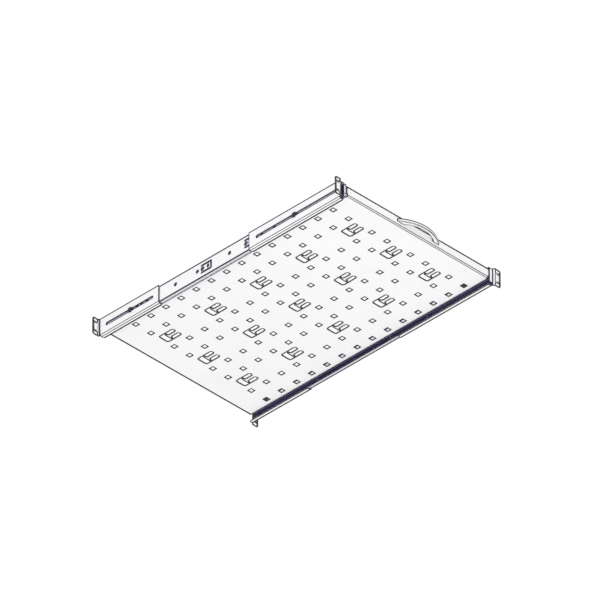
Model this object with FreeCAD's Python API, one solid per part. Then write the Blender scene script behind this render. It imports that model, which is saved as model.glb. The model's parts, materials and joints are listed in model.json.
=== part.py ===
import FreeCAD
import Part
import math
import os
from FreeCAD import Vector

# A sliding shelf for a 19-inch rack. A perforated tray hangs between two telescopic ball slides.
# Four slotted angle brackets carry the slides and bolt to the rack's front and rear posts.
# Millimetres. +X is right seen from the front, +Y runs into the rack, +Z is up.
# The origin is the middle of the front bolt pattern, on the mounting face of the front ears.

# Rack standard, one unit high
ear_span = 482.6
hole_from_ear_edge = 8.75
rack_hole_up = 31.75
rack_slot_height = 6.6
rack_slot_length = 10.3
ear_height = 43.6
ear_reach = 19.7
rack_depth = 705.4

# Telescopic slides
slide_thickness = 12.7
slide_height = 42.0
slide_length = 691.5
slide_sheet = 1.2
slide_bend = 1.7
outer_flange = 10.2
middle_flange_tip_gap = 0.4
web_gap = 0.3
end_plate_drop = 6.6
end_plate_lift = 2.2
travel = 650.0

# Balls, their races and their cages
ball_diameter = 4.0
ball_clearance = 0.05
groove_depth = 0.25
ball_inset = 7.4
balls_per_row = 4
cage_sheet = 0.6
cage_pocket_clearance = 0.15
cage_edge = 2.4
cage_margin = 5.0
cage_ball_margin = 12.0

# Openings in the web of the outer slide member
tab_length = 29.0
tab_height = 18.4
tab_kerf = 1.0
tab_fronts = (252.0, 378.6)
tab_eye_diameter = 7.0
tab_eye_from_root = 3.6
tab_slit_length = 6.5
tab_slit_width = 3.0
tab_slit_from_tip = 9.4
web_hole_diameter = 5.5
web_hole_places = (194.4, 231.0, 325.0, 419.0, 483.0, 566.0, 581.0, 595.0)

# Angle brackets
bracket_sheet = 1.5
bracket_bend = 2.8
bracket_clearance = 0.1
flange_width = 12.0
flange_corner = 4.5
ear_bend = 3.5
ear_corner = 5.0
front_bracket_length = 267.8
front_slot_start = 14.0
front_slot_length = 231.6
rear_bracket_length = 175.4
rear_slot_start = 20.9
rear_slot_length = 136.5
clamp_slot_width = 4.6

# Clamp screws and washers
clamp_shank = 4.2
clamp_head = 9.0
clamp_head_height = 3.2
clamp_socket = 3.0
washer_diameter = 12.5
washer_thickness = 1.0
washer_seat = 0.05
clamp_from_front_ear = 135.0
clamp_from_rear_ear = 92.4

# Tray
tray_sheet = 1.5
tray_bend = 1.8
tray_wall = 23.6
tray_underside = -12.3
tray_rear = 693.5
corner_relief = 0.5
hole_side = 8.2
hole_pitch = 44.27
pair_period = 112.1
first_row = 54.8
last_row_margin = 45.0
hole_edge_margin = 10.0

# Strap tongues in the tray's floor
rows_per_tongue = 3
window_width = 24.0
window_length = 37.5
window_corner = 2.0
stem_width = 10.4
head_width = 21.6
head_length = 6.7
head_corner = 3.0
stem_root_corner = 0.8
rear_gap = 11.0

# Screws that hold the tray to the slides and the handle to the panel
small_shank = 3.5
small_head = 8.0
small_head_height = 2.4
small_socket = 2.5
tray_screw_from_front = 72.5
tray_screw_from_rear = 36.0
tray_screw_count = 3
tray_screw_height = 5.0
tray_screw_tail = 1.5
screw_hole_clearance = 0.1
socket_depth_share = 0.55
head_round_share = 0.45

# Bow handle on the front panel
handle_length = 122.8
handle_reach = 22.3
handle_height = 8.2
handle_middle = 0.85
handle_foot = 17.2
handle_thickness = 7.3
handle_outer_round = 1.2
handle_inner_round = 0.8
handle_screw_inset = 11.6
handle_screw_bite = 3.5
handle_screw_end_gap = 0.5

# Rubber stops at the rear of the slides
bumper_length = 6.0
bumper_gap = 0.3
bumper_height = 16.0
bumper_depth = 7.8
bumper_corner = 2.0
bumper_peg = 5.0

# Sizes that follow from those above
rack_hole_across = ear_span - 2 * hole_from_ear_edge
slide_face = ear_span / 2 - ear_reach
slide_front = -bracket_sheet
slide_rear = slide_front + slide_length
channel_front = ear_bend
channel_length = slide_rear - channel_front
member_rear = slide_rear - bumper_length - bumper_gap
member_length = member_rear - channel_front
race_gap = ball_diameter + 2 * ball_clearance - 2 * groove_depth
outer_half = slide_height / 2
middle_half = outer_half - slide_sheet - race_gap
inner_half = middle_half - slide_sheet - race_gap
outer_row = outer_half - slide_sheet - race_gap / 2
inner_row = middle_half - slide_sheet - race_gap / 2
race_x = slide_face - ball_inset
outer_cage_x = slide_face - slide_sheet - web_gap
middle_web_x = outer_cage_x - cage_sheet - web_gap
inner_cage_x = middle_web_x - slide_sheet - web_gap
inner_tip_x = inner_cage_x - cage_sheet - web_gap
outer_tip_x = slide_face - outer_flange
middle_tip_x = outer_tip_x + middle_flange_tip_gap
inner_web_x = slide_face - slide_thickness
cage_tip_x = race_x - cage_edge
cage_front = channel_front + travel / 4 + cage_margin
cage_length = member_length - travel / 2 - 2 * cage_margin
front_clamp_place = clamp_from_front_ear
rear_clamp_place = rack_depth - clamp_from_rear_ear
bracket_in = slide_face + bracket_clearance
bracket_out = bracket_in + bracket_sheet
bracket_top = ear_height / 2
bracket_bottom = -(outer_half + bracket_clearance + bracket_sheet)
flange_edge = bracket_out - flange_width
ear_edge = ear_span / 2
tray_half = inner_web_x
tray_top = tray_underside + tray_wall
panel_front = slide_front
panel_back = panel_front + tray_sheet
tray_bend_outside = tray_bend + tray_sheet
wall_front = panel_front + tray_bend_outside + corner_relief
pairs_each_side = int((tray_half - hole_edge_margin - hole_pitch / 2) / pair_period + 0.5)
hole_rows = int((tray_rear - last_row_margin - first_row) / hole_pitch) + 1
tongue_columns = 2 * pairs_each_side - 1
tongue_rows = (hole_rows - 2) // rows_per_tongue + 1


def place(plane, a, b, level):
    # A point from two coordinates in a plane and the level of that plane.
    if plane == "XY":
        return Vector(a, b, level)
    if plane == "XZ":
        return Vector(a, level, b)
    return Vector(level, a, b)


def corner_ends(here, before, after, radius):
    # Where a round corner starts, its middle, and where it ends. A sharp corner is one point.
    if radius <= 0:
        return here, None, here
    back = (before - here).normalize()
    ahead = (after - here).normalize()
    half_angle = back.getAngle(ahead) / 2
    inward = (back + ahead).normalize()
    reach = radius / math.tan(half_angle)
    middle = here + inward * (radius / math.sin(half_angle) - radius)
    return here + back * reach, middle, here + ahead * reach


def rounded_face(plane, level, corners):
    # A flat face whose corners are (a, b) when sharp and (a, b, radius) when round.
    points = [place(plane, corner[0], corner[1], level) for corner in corners]
    radii = [corner[2] if len(corner) > 2 else 0 for corner in corners]
    ends = []
    for index, here in enumerate(points):
        after = points[(index + 1) % len(points)]
        ends.append(corner_ends(here, points[index - 1], after, radii[index]))
    edges = []
    for index, (start, middle, finish) in enumerate(ends):
        if middle is not None:
            edges.append(Part.Arc(start, middle, finish).toShape())
        following = ends[(index + 1) % len(ends)][0]
        if (following - finish).Length > 1e-6:
            edges.append(Part.LineSegment(finish, following).toShape())
    return Part.Face(Part.Wire(edges))


def prism(plane, level, depth, corners):
    # A face pulled straight out of its plane.
    return rounded_face(plane, level, corners).extrude(place(plane, 0, 0, depth))


def rectangle(a_low, a_high, b_low, b_high, radius=0):
    corners = [(a_low, b_low), (a_high, b_low), (a_high, b_high), (a_low, b_high)]
    return [(a, b, radius) for a, b in corners]


def obround(a, b, length, width):
    # A slot with full round ends, its length along the first coordinate.
    return rectangle(a - length / 2, a + length / 2, b - width / 2, b + width / 2, width / 2)


def rod(start, direction, radius):
    # A round bar from a point, as long as its direction vector.
    return Part.makeCylinder(radius, direction.Length, start, direction)


def mirrored(shape):
    # The left-hand twin of a right-hand piece.
    return shape.mirror(Vector(0, 0, 0), Vector(1, 0, 0))


def both_sides(shape):
    return Part.makeCompound([mirrored(shape), shape])


def channel(web_x, tip_x, half_height, sheet, front, length):
    # A C-section along Y, with its web at one side and its flanges reaching to the tips.
    side = math.copysign(sheet, tip_x - web_x)
    outside = slide_bend + sheet
    return prism("XZ", front, length, [
        (web_x, -half_height, outside),
        (tip_x, -half_height),
        (tip_x, -half_height + sheet),
        (web_x + side, -half_height + sheet, slide_bend),
        (web_x + side, half_height - sheet, slide_bend),
        (tip_x, half_height - sheet),
        (tip_x, half_height),
        (web_x, half_height, outside),
    ])


def race_grooves(row, front, length):
    # The round grooves that one pair of ball rows runs in.
    radius = ball_diameter / 2 + ball_clearance
    way = Vector(0, length, 0)
    return [rod(Vector(race_x, front, height), way, radius) for height in (-row, row)]


def outer_member():
    # The fixed slide member, with sprung tabs and holes in its web.
    member = channel(slide_face, outer_tip_x, outer_half, slide_sheet, channel_front, channel_length)
    cuts = race_grooves(outer_row, channel_front, channel_length)
    across = Vector(-slide_sheet, 0, 0)
    for front in tab_fronts:
        rear = front + tab_length
        half = tab_height / 2
        kerf = prism("YZ", slide_face, -slide_sheet, [
            (front, -half),
            (rear, -half),
            (rear, -half + tab_kerf),
            (front + tab_kerf, -half + tab_kerf),
            (front + tab_kerf, half - tab_kerf),
            (rear, half - tab_kerf),
            (rear, half),
            (front, half),
        ])
        slit = obround(0, front + tab_slit_from_tip, tab_slit_length, tab_slit_width)
        upright_slit = [(b, a, radius) for a, b, radius in slit]
        eye = Vector(slide_face, rear - tab_eye_from_root, 0)
        cuts.append(kerf)
        cuts.append(prism("YZ", slide_face, -slide_sheet, upright_slit))
        cuts.append(rod(eye, across, tab_eye_diameter / 2))
    for y in web_hole_places:
        cuts.append(rod(Vector(slide_face, y, 0), across, web_hole_diameter / 2))
    for y in (front_clamp_place, rear_clamp_place):
        cuts.append(rod(Vector(slide_face, y, 0), across, clamp_shank / 2 + screw_hole_clearance))
    peg_hole = bumper_peg / 2 + screw_hole_clearance
    cuts.append(rod(Vector(slide_face, slide_rear - bumper_length / 2, 0), across, peg_hole))
    return member.cut(cuts)


def middle_member():
    # The member between the two ball rows, which goes half as far as the tray.
    member = channel(middle_web_x, middle_tip_x, middle_half, slide_sheet, channel_front, member_length)
    grooves = race_grooves(outer_row, channel_front, member_length)
    grooves += race_grooves(inner_row, channel_front, member_length)
    return member.cut(grooves)


def inner_member():
    # The member that is screwed to the tray's wall. Its flanges reach back over the inner balls.
    # A plate closes its front end and covers the ends of the other two members.
    length = member_rear - slide_front
    member = channel(inner_web_x, inner_tip_x, inner_half, slide_sheet, slide_front, length)
    low = -outer_half + end_plate_lift
    high = outer_half - end_plate_drop
    plate = rectangle(inner_web_x, inner_tip_x, low, high)
    member = member.fuse(prism("XZ", slide_front, slide_sheet, plate)).removeSplitter()
    groove_front = slide_front + slide_sheet
    cuts = race_grooves(inner_row, groove_front, member_rear - groove_front)
    for y in tray_screw_places():
        hole = small_shank / 2 + screw_hole_clearance
        cuts.append(rod(Vector(inner_web_x, y, tray_screw_height), Vector(slide_sheet, 0, 0), hole))
    return member.cut(cuts)


def tray_screw_places():
    first = slide_front + tray_screw_from_front
    step = (member_rear - tray_screw_from_rear - first) / (tray_screw_count - 1)
    return [first + n * step for n in range(tray_screw_count)]


def ball_places(row):
    first = cage_front + cage_ball_margin
    step = (cage_length - 2 * cage_ball_margin) / (balls_per_row - 1)
    return [Vector(race_x, first + step * n, height) for height in (-row, row) for n in range(balls_per_row)]


def cage(web_x, row):
    # A thin channel with a round pocket for each ball.
    half = row + cage_sheet / 2
    body = channel(web_x, cage_tip_x, half, cage_sheet, cage_front, cage_length)
    radius = ball_diameter / 2 + cage_pocket_clearance
    pockets = []
    for centre in ball_places(row):
        below = Vector(centre.x, centre.y, centre.z - cage_sheet)
        pockets.append(rod(below, Vector(0, 0, 2 * cage_sheet), radius))
    return body.cut(pockets)


def balls(row):
    return Part.makeCompound([Part.makeSphere(ball_diameter / 2, centre) for centre in ball_places(row)])


def bumper():
    # A rubber stop pegged to the web, which the moving members meet when the tray is home.
    back = slide_face - slide_sheet
    front = slide_rear - bumper_length
    outline = rectangle(back - bumper_depth, back, -bumper_height / 2, bumper_height / 2)
    outline[0] = (back - bumper_depth, -bumper_height / 2, bumper_corner)
    outline[3] = (back - bumper_depth, bumper_height / 2, bumper_corner)
    block = prism("XZ", front, bumper_length, outline)
    peg = rod(Vector(back, front + bumper_length / 2, 0), Vector(slide_sheet, 0, 0), bumper_peg / 2)
    return block.fuse(peg).removeSplitter()


def bracket(length, slot_start, slot_length):
    # A slotted angle under and beside the slide, with an ear turned out at its end.
    # The ear's mounting face is at y = 0. The angle runs towards +Y from the end of the ear's bend.
    angle = prism("XZ", ear_bend, length - ear_bend, [
        (bracket_in, bracket_top),
        (bracket_out, bracket_top),
        (bracket_out, bracket_bottom, bracket_bend + bracket_sheet),
        (flange_edge, bracket_bottom),
        (flange_edge, bracket_bottom + bracket_sheet),
        (bracket_in, bracket_bottom + bracket_sheet, bracket_bend),
    ])
    flange_plan = prism("XY", bracket_bottom, bracket_top - bracket_bottom, [
        (flange_edge, ear_bend, flange_corner),
        (bracket_out, ear_bend),
        (bracket_out, length),
        (flange_edge, length, flange_corner),
    ])
    ear = prism("XY", -ear_height / 2, ear_height, [
        (bracket_in, ear_bend),
        (bracket_in, -bracket_sheet, ear_bend + bracket_sheet),
        (ear_edge, -bracket_sheet),
        (ear_edge, 0),
        (bracket_out, 0, ear_bend),
        (bracket_out, ear_bend),
    ])
    ear_outline = prism("XZ", -bracket_sheet, bracket_sheet + ear_bend, [
        (bracket_in, -ear_height / 2),
        (ear_edge, -ear_height / 2, ear_corner),
        (ear_edge, ear_height / 2, ear_corner),
        (bracket_in, ear_height / 2),
    ])
    body = angle.common(flange_plan).fuse(ear.common(ear_outline)).removeSplitter()
    slot = obround(slot_start + slot_length / 2, 0, slot_length, clamp_slot_width)
    cuts = [prism("YZ", bracket_in, bracket_sheet, slot)]
    for height in (-rack_hole_up / 2, rack_hole_up / 2):
        hole = obround(rack_hole_across / 2, height, rack_slot_length, rack_slot_height)
        cuts.append(prism("XZ", -bracket_sheet, bracket_sheet, hole))
    return body.cut(cuts)


def front_bracket():
    return bracket(front_bracket_length, front_slot_start, front_slot_length)


def rear_bracket():
    turned = bracket(rear_bracket_length, rear_slot_start, rear_slot_length)
    turned = turned.mirror(Vector(0, 0, 0), Vector(0, 1, 0))
    return turned.translated(Vector(0, rack_depth, 0))


def socket_screw(seat, direction, shank, shank_length, head, head_height, socket):
    # A round-topped screw with a hexagon socket. Its head stands on the seat, along the direction.
    outline = rounded_face("XZ", 0, [
        (0, -shank_length),
        (shank / 2, -shank_length),
        (shank / 2, 0),
        (head / 2, 0),
        (head / 2, head_height, head_height * head_round_share),
        (0, head_height),
    ])
    body = outline.revolve(Vector(0, 0, 0), Vector(0, 0, 1), 360)
    depth = head_height * socket_depth_share
    corner_radius = socket / math.sqrt(3)
    corners = []
    for n in range(6):
        turn = math.radians(60 * n)
        corners.append((corner_radius * math.cos(turn), corner_radius * math.sin(turn)))
    screw = body.cut(prism("XY", head_height - depth, depth, corners))
    screw.Placement = FreeCAD.Placement(seat, FreeCAD.Rotation(Vector(0, 0, 1), direction))
    return screw


def small_screw(seat, direction, length):
    return socket_screw(seat, direction, small_shank, length, small_head, small_head_height, small_socket)


def clamp_screw(y):
    # It passes the washer and the bracket's slot, and ends flush with the inside of the slide's web.
    seat_x = bracket_out + washer_seat + washer_thickness
    shank_length = seat_x - (slide_face - slide_sheet)
    seat = Vector(seat_x, y, 0)
    outward = Vector(1, 0, 0)
    return socket_screw(seat, outward, clamp_shank, shank_length, clamp_head, clamp_head_height, clamp_socket)


def clamp_washer(y):
    start = Vector(bracket_out + washer_seat, y, 0)
    way = Vector(washer_thickness, 0, 0)
    disc = rod(start, way, washer_diameter / 2)
    return disc.cut(rod(start, way, clamp_shank / 2 + screw_hole_clearance))


def tray_screw(y):
    # From inside the tray, through its wall and the web of the inner slide member.
    seat = Vector(tray_half - tray_sheet, y, tray_screw_height)
    return small_screw(seat, Vector(-1, 0, 0), tray_sheet + slide_sheet + tray_screw_tail)


def hole_columns():
    # The columns stand in pairs, one pair in each half period on either side of a tongue column.
    columns = []
    for n in range(-pairs_each_side, pairs_each_side):
        middle = (n + 0.5) * pair_period
        columns += [middle - hole_pitch / 2, middle + hole_pitch / 2]
    return columns


def tongue_window(x, y_middle):
    # The cut round one strap tongue. The tongue is left standing on its stem at the front side.
    half = window_width / 2
    stem = stem_width / 2
    head = head_width / 2
    front = y_middle - window_length / 2
    rear = front + window_length
    head_rear = rear - rear_gap
    head_front = head_rear - head_length
    right = [
        (stem, head_front, stem_root_corner),
        (stem, front, window_corner),
        (half, front, window_corner),
        (half, rear, window_corner),
    ]
    tip = [(head, head_rear, head_corner), (head, head_front, head_corner)]
    outline = tip + right
    outline += [(-a, b, radius) for a, b, radius in reversed(outline)]
    shifted = [(x + a, b, radius) for a, b, radius in outline]
    return prism("XY", tray_underside, tray_sheet, shifted)


def tray():
    # One folded sheet: a floor with two side walls and a front panel, and a plain rear edge.
    floor_top = tray_underside + tray_sheet
    inside = tray_half - tray_sheet
    walls = prism("XZ", wall_front, tray_rear - wall_front, [
        (-tray_half, tray_top),
        (-tray_half, tray_underside, tray_bend_outside),
        (tray_half, tray_underside, tray_bend_outside),
        (tray_half, tray_top),
        (inside, tray_top),
        (inside, floor_top, tray_bend),
        (-inside, floor_top, tray_bend),
        (-inside, tray_top),
    ])
    fold_half = tray_half - tray_bend_outside
    fold = prism("YZ", -fold_half, 2 * fold_half, [
        (panel_front, tray_top),
        (panel_front, tray_underside, tray_bend_outside),
        (wall_front, tray_underside),
        (wall_front, floor_top),
        (panel_back, floor_top, tray_bend),
        (panel_back, tray_top),
    ])
    panel_low = tray_underside + tray_bend_outside
    panel = prism("XZ", panel_front, tray_sheet, rectangle(-tray_half, tray_half, panel_low, tray_top))
    corners = []
    for side in (-1, 1):
        corner = rectangle(panel_back + corner_relief, wall_front, panel_low, tray_top)
        corners.append(prism("YZ", side * inside, side * tray_sheet, corner))
    sheet = walls.fuse([fold, panel] + corners).removeSplitter()
    cuts = []
    for x in hole_columns():
        for n in range(hole_rows):
            y = first_row + n * hole_pitch
            square = rectangle(x - hole_side / 2, x + hole_side / 2, y - hole_side / 2, y + hole_side / 2)
            cuts.append(prism("XY", tray_underside, tray_sheet, square))
    for column in range(tongue_columns):
        x = (column - (tongue_columns - 1) / 2) * pair_period
        for n in range(tongue_rows):
            y_middle = first_row + (n * rows_per_tongue + 0.5) * hole_pitch
            cuts.append(tongue_window(x, y_middle))
    radius = small_shank / 2 + screw_hole_clearance
    for y in tray_screw_places():
        for side in (-1, 1):
            start = Vector(side * inside, y, tray_screw_height)
            cuts.append(rod(start, Vector(side * tray_sheet, 0, 0), radius))
    for x in handle_screw_columns():
        cuts.append(rod(Vector(x, panel_front, handle_middle), Vector(0, tray_sheet, 0), radius))
    return sheet.cut(Part.makeCompound(cuts))


def handle_screw_columns():
    x = handle_length / 2 - handle_screw_inset
    return (-x, x)


def handle():
    # A moulded bow, thin in its middle and broad at its feet, with a blind hole in each foot.
    low = handle_middle - handle_height / 2
    foot_out = handle_length / 2
    foot_in = foot_out - handle_foot
    crown = panel_front - handle_reach
    under_crown = crown + handle_thickness
    corners = [place("XY", a, panel_front, low) for a in (-foot_out, foot_out, foot_in, -foot_in)]
    left_out, right_out, right_in, left_in = corners
    outline = Part.Wire([
        Part.Arc(left_out, Vector(0, crown, low), right_out).toShape(),
        Part.LineSegment(right_out, right_in).toShape(),
        Part.Arc(right_in, Vector(0, under_crown, low), left_in).toShape(),
        Part.LineSegment(left_in, left_out).toShape(),
    ])
    bow = Part.Face(outline).extrude(Vector(0, 0, handle_height))
    arcs = [edge for edge in bow.Edges if isinstance(edge.Curve, Part.Circle)]
    outer_radius = max(edge.Curve.Radius for edge in arcs)
    outer_arcs = [edge for edge in arcs if abs(edge.Curve.Radius - outer_radius) < 1e-3]
    inner_arcs = [edge for edge in arcs if abs(edge.Curve.Radius - outer_radius) >= 1e-3]
    bow = bow.makeFillet(handle_outer_round, outer_arcs)
    inner_arcs = [edge for edge in bow.Edges if any(edge.CenterOfMass.isEqual(arc.CenterOfMass, 1e-3)
                                                    for arc in inner_arcs)]
    bow = bow.makeFillet(handle_inner_round, inner_arcs)
    holes = []
    depth = handle_screw_bite + handle_screw_end_gap
    for x in handle_screw_columns():
        start = Vector(x, panel_front, handle_middle)
        holes.append(rod(start, Vector(0, -depth, 0), small_shank / 2 + screw_hole_clearance))
    return bow.cut(holes)


def handle_screws():
    # From inside the tray, through the panel and into the handle's feet.
    screws = []
    for x in handle_screw_columns():
        seat = Vector(x, panel_back, handle_middle)
        length = tray_sheet + handle_screw_bite
        screws.append(small_screw(seat, Vector(0, 1, 0), length))
    return Part.makeCompound(screws)


def handed_pieces():
    # Right-hand pieces by name, each of which also has a left-hand twin.
    return {
        "slide_outer": outer_member(),
        "slide_middle": middle_member(),
        "slide_inner": inner_member(),
        "outer_ball_cage": cage(outer_cage_x, outer_row),
        "inner_ball_cage": cage(inner_cage_x, inner_row),
        "outer_balls": balls(outer_row),
        "inner_balls": balls(inner_row),
        "rear_bumper": bumper(),
        "front_bracket": front_bracket(),
        "rear_bracket": rear_bracket(),
        "tray_screws": Part.makeCompound([tray_screw(y) for y in tray_screw_places()]),
    }


def pieces():
    # Every piece of the shelf by its node's name.
    washers = [clamp_washer(y) for y in (front_clamp_place, rear_clamp_place)]
    whole = {
        "tray": tray(),
        "handle": handle(),
        "handle_screws": handle_screws(),
        "front_clamp_screws": both_sides(clamp_screw(front_clamp_place)),
        "rear_clamp_screws": both_sides(clamp_screw(rear_clamp_place)),
        "clamp_washers": both_sides(Part.makeCompound(washers)),
    }
    for name, shape in handed_pieces().items():
        whole["right_" + name] = shape
        whole["left_" + name] = mirrored(shape)
    return whole


os.makedirs("parts", exist_ok=True)
for name, shape in pieces().items():
    shape.exportStep("parts/" + name + ".step")
    print(name, len(shape.Solids), round(shape.Volume, 1), shape.isValid())
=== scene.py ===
import bpy
import json
import math
import numpy as np
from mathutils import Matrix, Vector


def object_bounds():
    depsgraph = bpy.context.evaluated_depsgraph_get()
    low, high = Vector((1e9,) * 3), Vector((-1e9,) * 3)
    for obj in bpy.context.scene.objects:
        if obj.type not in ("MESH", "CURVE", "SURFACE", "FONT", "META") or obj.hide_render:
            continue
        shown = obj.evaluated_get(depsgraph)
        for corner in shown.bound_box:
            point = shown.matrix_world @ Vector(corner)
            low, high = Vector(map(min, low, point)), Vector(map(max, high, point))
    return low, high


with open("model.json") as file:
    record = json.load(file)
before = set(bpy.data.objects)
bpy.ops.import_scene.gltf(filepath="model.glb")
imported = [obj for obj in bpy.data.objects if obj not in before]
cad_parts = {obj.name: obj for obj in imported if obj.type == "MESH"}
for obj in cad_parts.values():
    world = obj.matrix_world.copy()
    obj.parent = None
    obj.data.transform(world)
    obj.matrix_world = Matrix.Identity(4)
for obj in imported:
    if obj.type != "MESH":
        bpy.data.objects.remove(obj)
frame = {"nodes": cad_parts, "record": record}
cadLow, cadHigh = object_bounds()
cadMiddle = (cadLow + cadHigh) / 2
scene = bpy.context.scene
scene.view_settings.view_transform = "Standard"


# Node helpers

valueSockets, valueResult = (0, 2, 3), 0  # of a Mix node: amount, first, second, and what it puts out
colourSockets, colourResult = (0, 6, 7), 2


def addNode(tree, kind, inputs=None, **settings):
    # One node. A socket given as an input is linked, anything else is set on the node's own socket.
    node = tree.nodes.new(kind)
    for name, value in settings.items():
        setattr(node, name, value)
    for name, value in (inputs or {}).items():
        if isinstance(value, bpy.types.NodeSocket):
            tree.links.new(value, node.inputs[name])
        else:
            node.inputs[name].default_value = value
    return node


def mathNode(tree, operation, first, second=0.0):
    # The sum, product or other operation of two values.
    return addNode(tree, "ShaderNodeMath", {0: first, 1: second}, operation=operation).outputs[0]


def vectorNode(tree, operation, first, second):
    # The same for two vectors. The result is under Vector or Value.
    return addNode(tree, "ShaderNodeVectorMath", {0: first, 1: second}, operation=operation).outputs


def wrapNode(tree, value, half):
    # The value less a whole number of spans, so that it lies between -half and half.
    return addNode(tree, "ShaderNodeMath", {0: value, 1: half, 2: -half}, operation="WRAP").outputs[0]


def rangeNode(tree, value, low, high, toLow=0.0, toHigh=1.0):
    # A smooth step: 3t^2 - 2t^3 of t = (value - low) / (high - low), carried to the new range.
    inputs = {"Value": value, "From Min": low, "From Max": high, "To Min": toLow, "To Max": toHigh}
    return addNode(tree, "ShaderNodeMapRange", inputs, interpolation_type="SMOOTHSTEP").outputs[0]


def noiseNode(tree, where, scale, detail, rough=0.5):
    # Fractal noise between 0 and 1 at the place times the scale, each octave rough times the one before.
    inputs = {"Vector": where, "Scale": scale, "Detail": detail, "Roughness": rough}
    return addNode(tree, "ShaderNodeTexNoise", inputs).outputs["Fac"]


def mixValue(tree, amount, first, second):
    # first * (1 - amount) + second * amount.
    inputs = dict(zip(valueSockets, (amount, first, second)))
    return addNode(tree, "ShaderNodeMix", inputs).outputs[valueResult]


def mixColour(tree, amount, first, second):
    # first * (1 - amount) + second * amount, for each channel.
    inputs = dict(zip(colourSockets, (amount, first, second)))
    return addNode(tree, "ShaderNodeMix", inputs, data_type="RGBA").outputs[colourResult]


def newGroup(name, inputs, outputs):
    # An empty shader group with float inputs and float outputs.
    tree = bpy.data.node_groups.new(name, "ShaderNodeTree")
    for label, value in inputs.items():
        socket = tree.interface.new_socket(label, in_out="INPUT", socket_type="NodeSocketFloat")
        socket.default_value = value
    for label in outputs:
        tree.interface.new_socket(label, in_out="OUTPUT", socket_type="NodeSocketFloat")
    return tree, addNode(tree, "NodeGroupInput").outputs, addNode(tree, "NodeGroupOutput").inputs


def placeGroup(tree, group, **values):
    # A group placed in a material with its own values. The others keep the group's defaults.
    return addNode(tree, "ShaderNodeGroup", values, node_tree=group).outputs


# Shared effects

lineTuning = {"edgeSamples": 32, "roomSamples": 12, "shadeTurn": 0.05, "facing": 0.7}


def edgeLineGroup(tuning):
    # Cut edges: how far the normal, averaged over a small ball, leans from the normal here, 1 - dot of both.
    # As in a drawing with shade lines, edges that turn to +X, +Y or +Z, away from the key lamps, have a
    # wider line, a painted shade: lean * (1 + Turn).
    # Painted shade in tight gaps and recesses: dark where little of the half sphere within the reach is
    # open.
    # Folds: the largest part of the normal along an axis lies between low and high, so it has just left
    # a flat side. In plan mode any upright face counts as flat, for pieces that are bowed seen from above.
    # In side mode level faces don't count as flat, so only the upright half of a bend is dark.
    # On folds that face down and to +X, away from the key lamps, low falls by Shade, so more of their width
    # is dark: a painted shade.
    inputs = {"Radius": 0.001, "Start": 0.004, "Full": 0.014, "Reach": 0.002, "Shut": 0.35, "Open": 0.7,
              "FoldLow": 1.1, "FoldHigh": 0.9985, "Shade": 0.0, "Plan": 0.0, "Side": 0.0, "Turn": 0.0}
    tree, given, out = newGroup("edgeLine", inputs, ["Line", "GapShade"])
    ball = addNode(tree, "ShaderNodeBevel", {"Radius": given["Radius"]}, samples=tuning["edgeSamples"])
    averaged = ball.outputs[0]
    geometry = addNode(tree, "ShaderNodeNewGeometry").outputs
    dot = vectorNode(tree, "DOT_PRODUCT", averaged, geometry["Normal"])["Value"]
    lean = mathNode(tree, "SUBTRACT", 1.0, dot)
    drift = vectorNode(tree, "SUBTRACT", averaged, geometry["Normal"])["Vector"]
    away = vectorNode(tree, "DOT_PRODUCT", drift, (1.0, 1.0, 1.0))["Value"]
    turned = mathNode(tree, "MULTIPLY", mathNode(tree, "GREATER_THAN", away, 0.0), given["Turn"])
    wide = mathNode(tree, "MULTIPLY", lean, mathNode(tree, "ADD", turned, 1.0))
    edge = rangeNode(tree, wide, given["Start"], given["Full"])
    # Painted shade: this Ambient Occlusion darkens tight gaps and recesses, also between parts.
    room = addNode(tree, "ShaderNodeAmbientOcclusion", {"Distance": given["Reach"]},
                   samples=tuning["roomSamples"]).outputs["AO"]
    gapShade = rangeNode(tree, room, given["Shut"], given["Open"], 1.0, 0.0)
    parts = addNode(tree, "ShaderNodeSeparateXYZ", {0: geometry["True Normal"]}).outputs
    x, y, z = [mathNode(tree, "ABSOLUTE", parts[axis]) for axis in "XYZ"]
    # Painted shade: folds that face down and to +X, away from the key lamps.
    shaded = mathNode(tree, "MULTIPLY", mathNode(tree, "GREATER_THAN", parts["X"], tuning["shadeTurn"]),
                      mathNode(tree, "LESS_THAN", parts["Z"], -tuning["shadeTurn"]))
    upright = mathNode(tree, "SQRT", mathNode(tree, "SUBTRACT", 1.0, mathNode(tree, "MULTIPLY", z, z)))
    across = mixValue(tree, given["Plan"], mathNode(tree, "MAXIMUM", x, y), upright)
    level = mathNode(tree, "MULTIPLY", z, mathNode(tree, "SUBTRACT", 1.0, given["Side"]))
    flat = mathNode(tree, "MAXIMUM", across, level)
    low = mathNode(tree, "SUBTRACT", given["FoldLow"], mathNode(tree, "MULTIPLY", shaded, given["Shade"]))
    fold = mathNode(tree, "MULTIPLY", mathNode(tree, "LESS_THAN", flat, given["FoldHigh"]),
                    mathNode(tree, "GREATER_THAN", flat, low))
    tree.links.new(mathNode(tree, "MAXIMUM", edge, fold), out["Line"])
    tree.links.new(gapShade, out["GapShade"])
    return tree


coatNoise = {"fineDetail": 3.0, "fineRough": 0.55, "broadDetail": 4.0, "toneSpread": (0.3, 0.7)}


def coatGrainGroup(noise):
    # Orange peel of a sprayed or moulded skin: a fine noise for height and a broad one for tone.
    tree, given, out = newGroup("coatGrain", {"Grain": 900.0, "Cloud": 9.0}, ["Height", "Tone"])
    where = addNode(tree, "ShaderNodeTexCoord").outputs["Object"]
    fine = noiseNode(tree, where, given["Grain"], noise["fineDetail"], noise["fineRough"])
    broad = noiseNode(tree, where, given["Cloud"], noise["broadDetail"])
    tree.links.new(fine, out["Height"])
    tree.links.new(rangeNode(tree, broad, *noise["toneSpread"]), out["Tone"])
    return tree


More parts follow.
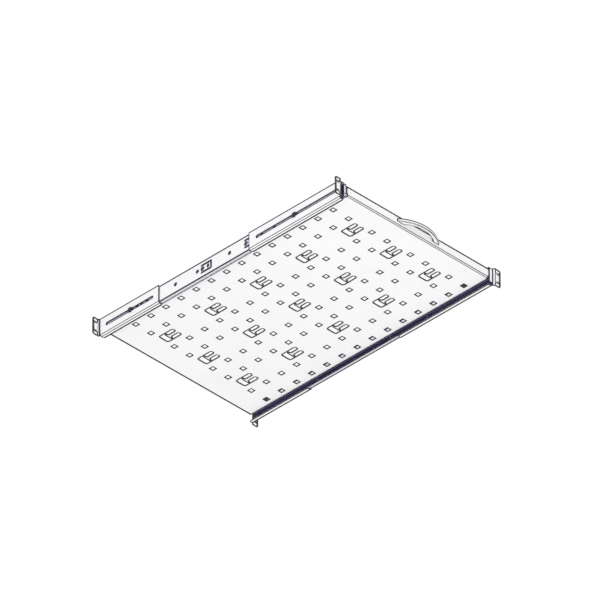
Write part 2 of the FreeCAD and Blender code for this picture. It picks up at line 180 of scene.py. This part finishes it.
drawnNoise = {
    "streakDetail": 3.0, "streakSpread": (0.3, 0.7),
    "spangleScale": 60.0, "spangleDetail": 2.0, "spangleSpread": (0.35, 0.65),
}


def drawnStreakGroup(noise):
    # Marks of drawn or rolled steel: a noise stretched along Y by the ratio of the two scales.
    tree, given, out = newGroup("drawnStreak", {"Across": 1400.0, "Along": 14.0}, ["Streak", "Spangle"])
    where = addNode(tree, "ShaderNodeTexCoord").outputs["Object"]
    inputs = {"X": given["Across"], "Y": given["Along"], "Z": given["Across"]}
    scales = addNode(tree, "ShaderNodeCombineXYZ", inputs).outputs[0]
    stretched = vectorNode(tree, "MULTIPLY", where, scales)["Vector"]
    streak = noiseNode(tree, stretched, 1.0, noise["streakDetail"])
    spangle = noiseNode(tree, where, noise["spangleScale"], noise["spangleDetail"])
    tree.links.new(rangeNode(tree, streak, *noise["streakSpread"]), out["Streak"])
    tree.links.new(rangeNode(tree, spangle, *noise["spangleSpread"]), out["Spangle"])
    return tree


edgeLine = edgeLineGroup(lineTuning)
coatGrain = coatGrainGroup(coatNoise)
drawnStreak = drawnStreakGroup(drawnNoise)
print("shared effects made")


# Materials

def newMaterial(name, **plain):
    # A material with a Principled shader, whose even values are set on its own sockets.
    material = bpy.data.materials.new(name)
    material.use_nodes = True
    tree = material.node_tree
    shader = tree.nodes["Principled BSDF"]
    for label, value in plain.items():
        shader.inputs[label.replace("_", " ")].default_value = value
    return material, tree, shader


def addBump(tree, shader, height, look):
    # The normal tips as if the surface stood out by height * depth, blended in by the look's bump.
    inputs = {"Height": height, "Strength": look["bump"], "Distance": look["depth"]}
    bump = addNode(tree, "ShaderNodeBump", inputs)
    tree.links.new(bump.outputs[0], shader.inputs["Normal"])


holeGrid = {
    "period": 0.1121, "column": 0.033915, "pitch": 0.04427, "firstRow": 0.0548, "lastRow": 0.6303,
    "half": 0.0041, "line": 0.0025, "shift": 0.0004, "soft": 0.0003, "reach": 0.010,
}


def holeLines(tree, grid, x, y, level, line):
    # Square outlines round the holes of the floor, in place of the rounder lines given here.
    # u = t - sign(t) * column, with t = x wrapped to one period, v = y - firstRow wrapped to one pitch,
    # d = max(|u + shift|, |v + shift|). Level faces are dark where d < half + line.
    wrapped = wrapNode(tree, x, grid["period"] / 2)
    side = mathNode(tree, "MULTIPLY", mathNode(tree, "SIGN", wrapped), grid["column"])
    across = mathNode(tree, "SUBTRACT", wrapped, side)
    along = wrapNode(tree, mathNode(tree, "SUBTRACT", y, grid["firstRow"]), grid["pitch"] / 2)
    across, along = [mathNode(tree, "ABSOLUTE", mathNode(tree, "ADD", value, grid["shift"]))
                     for value in (across, along)]
    away = mathNode(tree, "MAXIMUM", across, along)
    rim = grid["half"] + grid["line"]
    outline = rangeNode(tree, away, rim - grid["soft"], rim + grid["soft"], 1.0, 0.0)
    near = mathNode(tree, "LESS_THAN", away, grid["reach"])
    for test in (mathNode(tree, "GREATER_THAN", y, grid["firstRow"] - grid["reach"]),
                 mathNode(tree, "LESS_THAN", y, grid["lastRow"] + grid["reach"]),
                 mathNode(tree, "GREATER_THAN", level, lineTuning["facing"])):
        near = mathNode(tree, "MULTIPLY", near, test)
    return mixValue(tree, near, line, outline)


def edgeLines(tree, look):
    # The lines and the painted shade in tight gaps of one look. The radius is rimRadius past any of the
    # look's rim limits.
    # The axis left = max(-x, 2x) is |x| on the left side and past such limits on the right one.
    # A stripe is a line as wide as the part of a face past its limit, on faces that look along its axis.
    # A face looks in, towards the middle of the part, where -sign(x) * normal along X passes the limit.
    shut, clear = look["gapShade"]
    lines = placeGroup(tree, edgeLine, Radius=look["lineRadius"], Reach=look["shadeReach"], Shut=shut,
                       Open=clear, FoldLow=look["foldLow"], Shade=look["shade"], Plan=look["plan"],
                       Side=look["side"], Turn=look["turn"])
    line, gapShade = lines["Line"], lines["GapShade"]
    where = addNode(tree, "ShaderNodeTexCoord").outputs["Object"]
    x, y, z = addNode(tree, "ShaderNodeSeparateXYZ", {0: where}).outputs
    minusX = mathNode(tree, "MULTIPLY", x, -1.0)
    left = mathNode(tree, "MAXIMUM", minusX, mathNode(tree, "MULTIPLY", x, 2.0))
    axes = {"|x|": mathNode(tree, "ABSOLUTE", x), "left": left, "x": x, "y": y, "z": z}
    if look["rim"]:
        rim = 0.0
        for axis, operation, limit in look["rim"]:
            rim = mathNode(tree, "MAXIMUM", rim, mathNode(tree, operation, axes[axis], limit))
        radius = rangeNode(tree, rim, 0.0, 1.0, look["lineRadius"], look["rimRadius"])
        tree.links.new(radius, line.node.inputs["Radius"])
    normal = addNode(tree, "ShaderNodeNewGeometry").outputs["True Normal"]
    turn = addNode(tree, "ShaderNodeSeparateXYZ", {0: normal}).outputs
    facings = {axis: mathNode(tree, "ABSOLUTE", turn[axis]) for axis in "XYZ"}
    facings["in"] = mathNode(tree, "MULTIPLY", turn["X"], mathNode(tree, "SIGN", minusX))
    for axis, operation, limit, facing in look["stripes"]:
        faces = mathNode(tree, "GREATER_THAN", facings[facing], lineTuning["facing"])
        stripe = mathNode(tree, "MULTIPLY", faces, mathNode(tree, operation, axes[axis], limit))
        line = mathNode(tree, "MAXIMUM", line, stripe)
    if look["holes"]:
        line = holeLines(tree, look["holes"], x, y, facings["Z"], line)
    return line, gapShade


trayPaint = {
    "name": "tray_paint", "light": (0.89, 0.893, 0.90, 1), "deep": (0.87, 0.874, 0.882, 1),
    # dark is the colour of the painted shade in tight gaps and recesses.
    "line": (0.008, 0.007, 0.018, 1), "dark": (0.012, 0.011, 0.026, 1),
    "lineRadius": 0.0055, "rimRadius": 0.0070, "shadeReach": 0.003, "gapShade": (0.35, 0.7),
    "foldLow": 0.88, "shade": 0.26, "plan": 0.0, "side": 0.0, "turn": 6.0, "holes": holeGrid,
    "ior": 1.5, "specular": 0.2, "rough": (0.42, 0.52), "grain": 900.0, "bump": 0.10, "depth": 0.0003,
    "rim": [("|x|", "GREATER_THAN", 0.2035), ("y", "GREATER_THAN", 0.6895), ("z", "GREATER_THAN", 0.0073)],
    "stripes": [],
}
bracketPaint = dict(
    trayPaint, name="bracket_paint", light=(0.88, 0.884, 0.892, 1), deep=(0.86, 0.865, 0.875, 1),
    lineRadius=0.0036, rimRadius=0.0085, holes=None,
    rim=[("left", "LESS_THAN", 0.2150), ("z", "GREATER_THAN", 0.0188), ("|x|", "GREATER_THAN", 0.2292)],
    # Stripes of painted shade: the underside of the right bracket's flange, the inside corner at the rear
    # ears' bends, and the inner faces of the rear brackets behind the slides' ends.
    stripes=[("x", "GREATER_THAN", 0.2170, "Z"), ("y", "GREATER_THAN", 0.7012, "X"),
             ("y", "GREATER_THAN", 0.6895, "in")],
)
handlePlastic = dict(
    trayPaint, name="handle_plastic", light=(0.87, 0.873, 0.88, 1), deep=(0.85, 0.853, 0.86, 1),
    lineRadius=0.0030, foldLow=0.72, plan=1.0, side=1.0, holes=None,
    rough=(0.36, 0.44), grain=1600.0, bump=0.06,
    rim=[], stripes=[("z", "GREATER_THAN", 0.0017, "X"), ("z", "GREATER_THAN", 0.0017, "Y")],
)


def coatedMaterial(look):
    # Powder coat or moulded skin: two close tones by a broad noise, dark lines on folds and cut edges, and
    # painted shade in tight gaps.
    material, tree, shader = newMaterial(look["name"], IOR=look["ior"], Specular_IOR_Level=look["specular"])
    grain = placeGroup(tree, coatGrain, Grain=look["grain"])
    line, gapShade = edgeLines(tree, look)
    coat = mixColour(tree, grain["Tone"], look["light"], look["deep"])
    drawn = mixColour(tree, line, coat, look["line"])
    # Painted shade: tight gaps and recesses take the dark colour.
    tree.links.new(mixColour(tree, gapShade, drawn, look["dark"]), shader.inputs["Base Color"])
    tree.links.new(rangeNode(tree, grain["Tone"], 0.0, 1.0, *look["rough"]), shader.inputs["Roughness"])
    addBump(tree, shader, grain["Height"], look)
    return material


slideZinc = {
    "name": "slide_zinc", "light": (0.93, 0.932, 0.938, 1), "deep": (0.87, 0.873, 0.882, 1),
    # dark is the colour of the painted shade in tight gaps and recesses.
    "line": (0.030, 0.027, 0.065, 1), "dark": (0.11, 0.10, 0.22, 1),
    "lineRadius": 0.004, "rimRadius": 0.002, "shadeReach": 0.010, "gapShade": (0.7, 0.93),
    "foldLow": 0.45, "shade": 0.26, "plan": 0.0, "side": 1.0, "turn": 4.0, "holes": None,
    "metal": 0.45, "specular": 0.2, "rough": (0.26, 0.40), "across": 1400.0, "spangle": 0.3,
    "bump": 0.05, "depth": 0.0001, "rim": [("x", "GREATER_THAN", 0.2)],
    # The stripe on faces looking along Z past x = 0.2164 is painted shade: a dark band along the right slide
    # only.
    "stripes": [("z", "GREATER_THAN", 0.0156, "X"), ("x", "GREATER_THAN", 0.2164, "Z")],
}
cageSteel = dict(
    slideZinc, name="cage_steel", light=(0.50, 0.51, 0.53, 1), deep=(0.40, 0.41, 0.43, 1),
    lineRadius=0.0005, foldLow=1.1, shade=0.0, metal=0.9, rim=[], stripes=[],
)


def drawnMaterial(look):
    # Plated or rolled steel: streaks along the slide mixed with a faint spangle, dark lines on its edges,
    # and painted shade in tight gaps.
    material, tree, shader = newMaterial(look["name"], Metallic=look["metal"],
                                         Specular_IOR_Level=look["specular"])
    drawn = placeGroup(tree, drawnStreak, Across=look["across"])
    line, gapShade = edgeLines(tree, look)
    share = mixValue(tree, look["spangle"], drawn["Streak"], drawn["Spangle"])
    steel = mixColour(tree, share, look["light"], look["deep"])
    steel = mixColour(tree, line, steel, look["line"])
    # Painted shade: tight gaps and recesses take the dark colour.
    tree.links.new(mixColour(tree, gapShade, steel, look["dark"]), shader.inputs["Base Color"])
    tree.links.new(rangeNode(tree, share, 0.0, 1.0, *look["rough"]), shader.inputs["Roughness"])
    addBump(tree, shader, drawn["Streak"], look)
    return material


darkScrew = {
    "name": "dark_screw", "light": (0.05, 0.05, 0.075, 1), "deep": (0.032, 0.032, 0.05, 1),
    "worn": (0.10, 0.10, 0.13, 1), "wear": 0.7, "lineRadius": 0.0003, "metal": 0.2, "specular": 0.15,
    "rough": (0.30, 0.42), "grain": 2500.0, "cloud": 400.0, "bump": 0.04, "depth": 0.0002,
}


def screwMaterial(look):
    # Black zinc, rubbed brighter along the rim and the socket: worn by line * wear.
    material, tree, shader = newMaterial(look["name"], Metallic=look["metal"],
                                         Specular_IOR_Level=look["specular"])
    grain = placeGroup(tree, coatGrain, Grain=look["grain"], Cloud=look["cloud"])
    edge = placeGroup(tree, edgeLine, Radius=look["lineRadius"])
    plate = mixColour(tree, grain["Tone"], look["light"], look["deep"])
    rubbed = mathNode(tree, "MULTIPLY", edge["Line"], look["wear"])
    tree.links.new(mixColour(tree, rubbed, plate, look["worn"]), shader.inputs["Base Color"])
    tree.links.new(rangeNode(tree, grain["Tone"], 0.0, 1.0, *look["rough"]), shader.inputs["Roughness"])
    addBump(tree, shader, grain["Height"], look)
    return material


ballSteel = {
    "name": "ball_steel", "light": (0.82, 0.82, 0.84, 1), "deep": (0.70, 0.71, 0.74, 1),
    "metal": 1.0, "rough": (0.10, 0.24), "grain": 3000.0, "cloud": 300.0,
}


def ballMaterial(look):
    # Polished steel under a thin smear of grease: tone and gloss by one broad noise.
    material, tree, shader = newMaterial(look["name"], Metallic=look["metal"])
    grain = placeGroup(tree, coatGrain, Grain=look["grain"], Cloud=look["cloud"])
    tree.links.new(mixColour(tree, grain["Tone"], look["light"], look["deep"]), shader.inputs["Base Color"])
    tree.links.new(rangeNode(tree, grain["Tone"], 0.0, 1.0, *look["rough"]), shader.inputs["Roughness"])
    return material


bumperRubber = {
    "name": "bumper_rubber", "light": (0.045, 0.045, 0.047, 1), "deep": (0.03, 0.03, 0.032, 1),
    "ior": 1.45, "rough": (0.7, 0.85), "grain": 2200.0, "cloud": 160.0, "bump": 0.15, "depth": 0.0003,
}


def rubberMaterial(look):
    # Matt moulded rubber: tone and gloss by a broad noise, relief by a fine one.
    material, tree, shader = newMaterial(look["name"], IOR=look["ior"])
    grain = placeGroup(tree, coatGrain, Grain=look["grain"], Cloud=look["cloud"])
    tree.links.new(mixColour(tree, grain["Tone"], look["light"], look["deep"]), shader.inputs["Base Color"])
    tree.links.new(rangeNode(tree, grain["Tone"], 0.0, 1.0, *look["rough"]), shader.inputs["Roughness"])
    addBump(tree, shader, grain["Height"], look)
    return material


finishes = {
    "tray_paint": coatedMaterial(trayPaint),
    "bracket_paint": coatedMaterial(bracketPaint),
    "handle_plastic": coatedMaterial(handlePlastic),
    "slide_zinc": drawnMaterial(slideZinc),
    "cage_steel": drawnMaterial(cageSteel),
    "dark_screw": screwMaterial(darkScrew),
    "ball_steel": ballMaterial(ballSteel),
    "bumper_rubber": rubberMaterial(bumperRubber),
}
for subpart in frame["record"]["subparts"]:
    materials = frame["nodes"][subpart["node"]].data.materials
    materials.clear()
    materials.append(finishes[subpart["material_slot"]])
print("finishes given to", len(frame["nodes"]), "nodes")


# Floor, lights and camera

floorLook = {
    "half": 3.0, "drop": 0.0012, "colour": (0.86, 0.86, 0.86, 1), "rough": 0.9,
    "fadeFrom": 0.7, "fadeTo": 1.6,
}


def makeFloor(look):
    # A flat square under the part. It fades into the white round it by a smooth step of the distance
    # from the middle, and isn't seen from below.
    level = cadLow.z - look["drop"]
    corners = np.array([(-1, -1), (1, -1), (1, 1), (-1, 1)]) * look["half"]
    points = np.column_stack([corners, np.full(len(corners), level)])
    mesh = bpy.data.meshes.new("floor")
    mesh.from_pydata(points.tolist(), [], [tuple(range(len(corners)))])
    material, tree, shader = newMaterial("floor", Base_Color=look["colour"], Roughness=look["rough"])
    where = addNode(tree, "ShaderNodeTexCoord").outputs["Object"]
    away = vectorNode(tree, "DISTANCE", where, (cadMiddle.x, cadMiddle.y, level))["Value"]
    faded = rangeNode(tree, away, look["fadeFrom"], look["fadeTo"])
    behind = addNode(tree, "ShaderNodeNewGeometry").outputs["Backfacing"]
    share = mathNode(tree, "MAXIMUM", faded, behind)
    clear = addNode(tree, "ShaderNodeBsdfTransparent")
    mixed = addNode(tree, "ShaderNodeMixShader", {0: share, 1: shader.outputs[0], 2: clear.outputs[0]})
    tree.links.new(mixed.outputs[0], tree.nodes["Material Output"].inputs["Surface"])
    mesh.materials.append(material)
    floor = bpy.data.objects.new("floor", mesh)
    scene.collection.objects.link(floor)
    floor.visible_shadow = False
    floor.visible_diffuse = False


worldLook = {"colour": (1.0, 1.0, 1.0, 1), "light": 0.87, "seen": 1.0}


def makeWorld(look):
    # White to the camera and in reflections, and a plain even light to everything else.
    world = bpy.data.worlds.new("studio")
    scene.world = world
    world.use_nodes = True
    tree = world.node_tree
    tree.nodes.clear()
    path = addNode(tree, "ShaderNodeLightPath").outputs
    seen = mathNode(tree, "MAXIMUM", path["Is Camera Ray"], path["Is Glossy Ray"])
    seen = mathNode(tree, "MAXIMUM", seen, path["Is Transmission Ray"])
    light, white = [addNode(tree, "ShaderNodeBackground", {"Color": look["colour"], "Strength": strength})
                    for strength in (look["light"], look["seen"])]
    mixed = addNode(tree, "ShaderNodeMixShader", {0: seen, 1: light.outputs[0], 2: white.outputs[0]})
    out = addNode(tree, "ShaderNodeOutputWorld")
    tree.links.new(mixed.outputs[0], out.inputs["Surface"])


lampLooks = {
    "keyBelow": {"from": (-1.87, -1.955, -2.72), "size": 2.7, "power": 47.0},
    "keyAbove": {"from": (-1.0, -0.8, 1.9), "size": 1.6, "power": 11.0},
    "fillRight": {"from": (1.7, 0.9, 0.7), "size": 1.4, "power": 6.0},
}


def makeLamps(looks):
    # Square soft lamps that face the middle of the part.
    for name, look in looks.items():
        lamp = bpy.data.lights.new(name, "AREA")
        lamp.size = look["size"]
        lamp.energy = look["power"]
        holder = bpy.data.objects.new(name, lamp)
        scene.collection.objects.link(holder)
        holder.location = cadMiddle + Vector(look["from"])
        holder.rotation_mode = "QUATERNION"
        holder.rotation_quaternion = (-Vector(look["from"])).to_track_quat("-Z", "Y")
        holder.visible_camera = False


cameraLook = {
    "target": (0.0003, 0.3419, 0.0008), "azimuth": -45.0, "elevation": -35.264,
    "across": 1.237, "lens": 1473.0, "sensor": 36.0, "nearest": 1.0, "furthest": 3.0,
}


def makeCamera(look):
    # Distance = width that is seen * lens / sensor, along the line of sight.
    # The furthest point that is drawn is so many times that distance away.
    camera = bpy.data.cameras.new("camera")
    camera.sensor_width = look["sensor"]
    camera.lens = look["lens"]
    turn, rise = math.radians(look["azimuth"]), math.radians(look["elevation"])
    back = Vector((math.sin(turn) * math.cos(rise), -math.cos(turn) * math.cos(rise), math.sin(rise)))
    distance = look["across"] * look["lens"] / look["sensor"]
    camera.clip_start = look["nearest"]
    camera.clip_end = look["furthest"] * distance
    holder = bpy.data.objects.new("camera", camera)
    scene.collection.objects.link(holder)
    holder.location = Vector(look["target"]) + back * distance
    holder.rotation_mode = "QUATERNION"
    holder.rotation_quaternion = (-back).to_track_quat("-Z", "Y")
    scene.camera = holder


makeFloor(floorLook)
makeWorld(worldLook)
makeLamps(lampLooks)
makeCamera(cameraLook)
print("floor, lights and camera placed")
